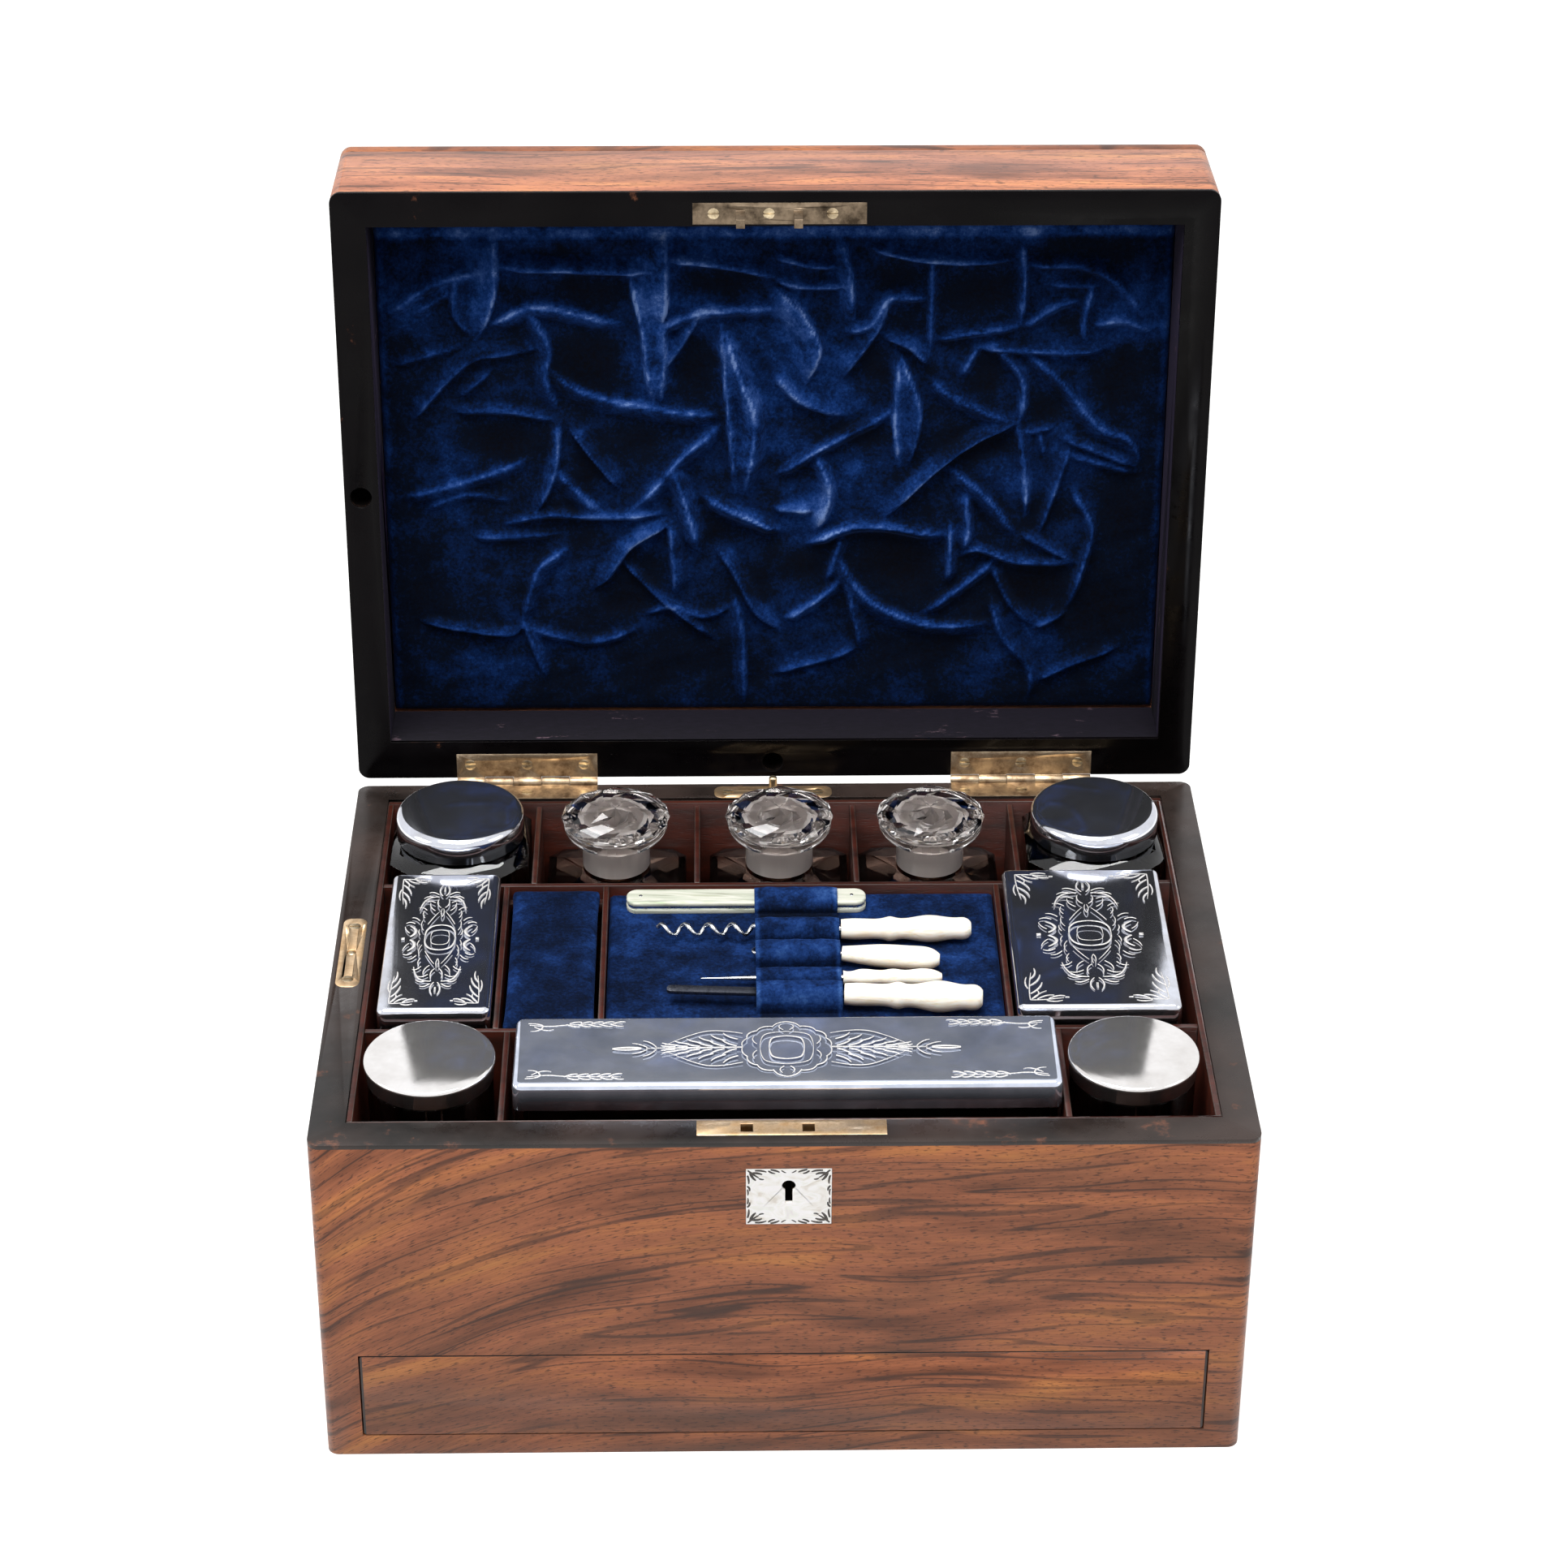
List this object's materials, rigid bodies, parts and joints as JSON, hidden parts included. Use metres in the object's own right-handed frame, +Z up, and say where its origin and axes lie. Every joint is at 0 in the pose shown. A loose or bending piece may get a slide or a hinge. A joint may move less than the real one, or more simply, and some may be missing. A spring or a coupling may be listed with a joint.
{
  "type": "fitted dressing box",
  "caption": "Rosewood dressing box with a hinged lid lined in ruched velvet, a drawer, and lift-out cut glass jars, bottles and boxes with silver lids, and hand tools under a strap.",
  "frame": {"origin": "centre of the case's underside, on the surface it stands on", "axes": "+Z up, +Y from the front with the escutcheon to the hinges, +X to the right seen from the front"},
  "size_m": [0.305, 0.2894, 0.3532],
  "materials": {
    "rosewood": "french polished rosewood with dark streaks",
    "ebonised": "ebonised banding, worn",
    "mahogany": "mahogany boards, oiled",
    "velvet": "blue silk velvet",
    "lining": "dark purple lining paper and cloth",
    "brass": "old brass, dulled",
    "silver": "polished engraved silver",
    "cut_glass": "clear cut glass",
    "bone": "turned and polished bone",
    "pearl": "mother of pearl",
    "steel": "polished steel"
  },
  "bodies": {
    "case": {"case_front": "rosewood", "case_back": "rosewood", "case_sides": "rosewood", "base_boards": "mahogany", "case_rim": "ebonised", "escutcheon": "pearl", "lock_case": "brass", "hinge_leaves_case": "brass", "case_screws": "brass", "pin_plates": "brass", "liner_boards": "mahogany", "compartment_boards": "mahogany"},
    "lid": {"lid_top": "rosewood", "lid_frame": "rosewood", "lid_rim": "ebonised", "lid_lining": "lining", "velvet_panel": "velvet", "catch_plate": "brass", "hinge_leaves_lid": "brass", "lid_screws": "brass"},
    "drawer": {"drawer_front": "rosewood", "drawer_box": "mahogany", "drawer_lining": "velvet", "drawer_staple": "brass"},
    "drawer_pin": {"back_pin": "brass"},
    "rim_pin": {"side_pin": "brass"},
    "bolt": {"lock_bolt": "brass"},
    "jar_left": {"jar_left": "cut_glass"},
    "jar_left_lid": {"jar_left_lid": "silver"},
    "jar_right": {"jar_right": "cut_glass"},
    "jar_right_lid": {"jar_right_lid": "silver"},
    "pot_left": {"pot_left": "cut_glass"},
    "pot_left_lid": {"pot_left_lid": "silver"},
    "pot_right": {"pot_right": "cut_glass"},
    "pot_right_lid": {"pot_right_lid": "silver"},
    "box_left": {"box_left": "cut_glass"},
    "box_left_lid": {"box_left_lid": "silver"},
    "box_right": {"box_right": "cut_glass"},
    "box_right_lid": {"box_right_lid": "silver"},
    "box_long": {"box_long": "cut_glass"},
    "box_long_lid": {"box_long_lid": "silver"},
    "bottle_1": {"bottle_1": "cut_glass"},
    "stopper_1": {"stopper_1": "cut_glass"},
    "bottle_2": {"bottle_2": "cut_glass"},
    "stopper_2": {"stopper_2": "cut_glass"},
    "bottle_3": {"bottle_3": "cut_glass"},
    "stopper_3": {"stopper_3": "cut_glass"},
    "tool_tray": {"tool_board": "velvet", "tool_strap": "velvet"},
    "pad": {"velvet_pad": "velvet"},
    "penknife": {"penknife_scales": "pearl", "penknife_steel": "steel"},
    "corkscrew": {"corkscrew_handle": "bone", "corkscrew_steel": "steel"},
    "button_hook": {"button_hook_handle": "bone", "button_hook_steel": "steel"},
    "stiletto": {"stiletto_handle": "bone", "stiletto_steel": "steel"},
    "nail_file": {"nail_file_handle": "bone", "nail_file_steel": "steel"}
  },
  "joints": [
    {"name": "lid_hinge", "type": "hinge", "parent": "case", "child": "lid", "pos_m": [0, 0.1145, 0.1265], "axis": [-1, 0, 0], "range_deg": [-92.8, 0]},
    {"name": "drawer_slide", "type": "slide", "parent": "case", "child": "drawer", "axis": [0, -1, 0], "range_m": [0, 0.15]},
    {"name": "drawer_pin_slide", "type": "slide", "parent": "case", "child": "drawer_pin", "axis": [0, 0, 1], "range_m": [-0.0065, 0]},
    {"name": "rim_pin_lift", "type": "slide", "parent": "case", "child": "rim_pin", "axis": [0, 0, 1], "range_m": [0, 0.0065]},
    {"name": "bolt_slide", "type": "slide", "parent": "case", "child": "bolt", "axis": [1, 0, 0], "range_m": [0, 0.0032]},
    {"name": "jar_left_lift", "type": "slide", "parent": "case", "child": "jar_left", "axis": [0, 0, 1], "range_m": [0, 0.085]},
    {"name": "jar_left_lid_lift", "type": "slide", "parent": "jar_left", "child": "jar_left_lid", "axis": [0, 0, 1], "range_m": [0, 0.012]},
    {"name": "jar_right_lift", "type": "slide", "parent": "case", "child": "jar_right", "axis": [0, 0, 1], "range_m": [0, 0.085]},
    {"name": "jar_right_lid_lift", "type": "slide", "parent": "jar_right", "child": "jar_right_lid", "axis": [0, 0, 1], "range_m": [0, 0.012]},
    {"name": "pot_left_lift", "type": "slide", "parent": "case", "child": "pot_left", "axis": [0, 0, 1], "range_m": [0, 0.085]},
    {"name": "pot_left_lid_lift", "type": "slide", "parent": "pot_left", "child": "pot_left_lid", "axis": [0, 0, 1], "range_m": [0, 0.012]},
    {"name": "pot_right_lift", "type": "slide", "parent": "case", "child": "pot_right", "axis": [0, 0, 1], "range_m": [0, 0.085]},
    {"name": "pot_right_lid_lift", "type": "slide", "parent": "pot_right", "child": "pot_right_lid", "axis": [0, 0, 1], "range_m": [0, 0.012]},
    {"name": "box_left_lift", "type": "slide", "parent": "case", "child": "box_left", "axis": [0, 0, 1], "range_m": [0, 0.06]},
    {"name": "box_left_lid_lift", "type": "slide", "parent": "box_left", "child": "box_left_lid", "axis": [0, 0, 1], "range_m": [0, 0.011]},
    {"name": "box_right_lift", "type": "slide", "parent": "case", "child": "box_right", "axis": [0, 0, 1], "range_m": [0, 0.06]},
    {"name": "box_right_lid_lift", "type": "slide", "parent": "box_right", "child": "box_right_lid", "axis": [0, 0, 1], "range_m": [0, 0.011]},
    {"name": "box_long_lift", "type": "slide", "parent": "case", "child": "box_long", "axis": [0, 0, 1], "range_m": [0, 0.06]},
    {"name": "box_long_lid_lift", "type": "slide", "parent": "box_long", "child": "box_long_lid", "axis": [0, 0, 1], "range_m": [0, 0.011]},
    {"name": "bottle_1_lift", "type": "slide", "parent": "case", "child": "bottle_1", "axis": [0, 0, 1], "range_m": [0, 0.085]},
    {"name": "stopper_1_lift", "type": "slide", "parent": "bottle_1", "child": "stopper_1", "axis": [0, 0, 1], "range_m": [0, 0.024]},
    {"name": "bottle_2_lift", "type": "slide", "parent": "case", "child": "bottle_2", "axis": [0, 0, 1], "range_m": [0, 0.085]},
    {"name": "stopper_2_lift", "type": "slide", "parent": "bottle_2", "child": "stopper_2", "axis": [0, 0, 1], "range_m": [0, 0.024]},
    {"name": "bottle_3_lift", "type": "slide", "parent": "case", "child": "bottle_3", "axis": [0, 0, 1], "range_m": [0, 0.085]},
    {"name": "stopper_3_lift", "type": "slide", "parent": "bottle_3", "child": "stopper_3", "axis": [0, 0, 1], "range_m": [0, 0.024]},
    {"name": "tool_tray_lift", "type": "slide", "parent": "case", "child": "tool_tray", "axis": [0, 0, 1], "range_m": [0, 0.05]},
    {"name": "pad_lift", "type": "slide", "parent": "case", "child": "pad", "axis": [0, 0, 1], "range_m": [0, 0.03]},
    {"name": "penknife_slip", "type": "slide", "parent": "tool_tray", "child": "penknife", "axis": [1, 0, 0], "range_m": [0, 0.006]},
    {"name": "corkscrew_slip", "type": "slide", "parent": "tool_tray", "child": "corkscrew", "axis": [1, 0, 0], "range_m": [0, 0.006]},
    {"name": "button_hook_slip", "type": "slide", "parent": "tool_tray", "child": "button_hook", "axis": [0.993, -0.1184, 0], "range_m": [0, 0.006]},
    {"name": "stiletto_slip", "type": "slide", "parent": "tool_tray", "child": "stiletto", "axis": [1, 0, 0], "range_m": [0, 0.006]},
    {"name": "nail_file_slip", "type": "slide", "parent": "tool_tray", "child": "nail_file", "axis": [0.9982, -0.0593, 0], "range_m": [0, 0.006]}
  ]
}
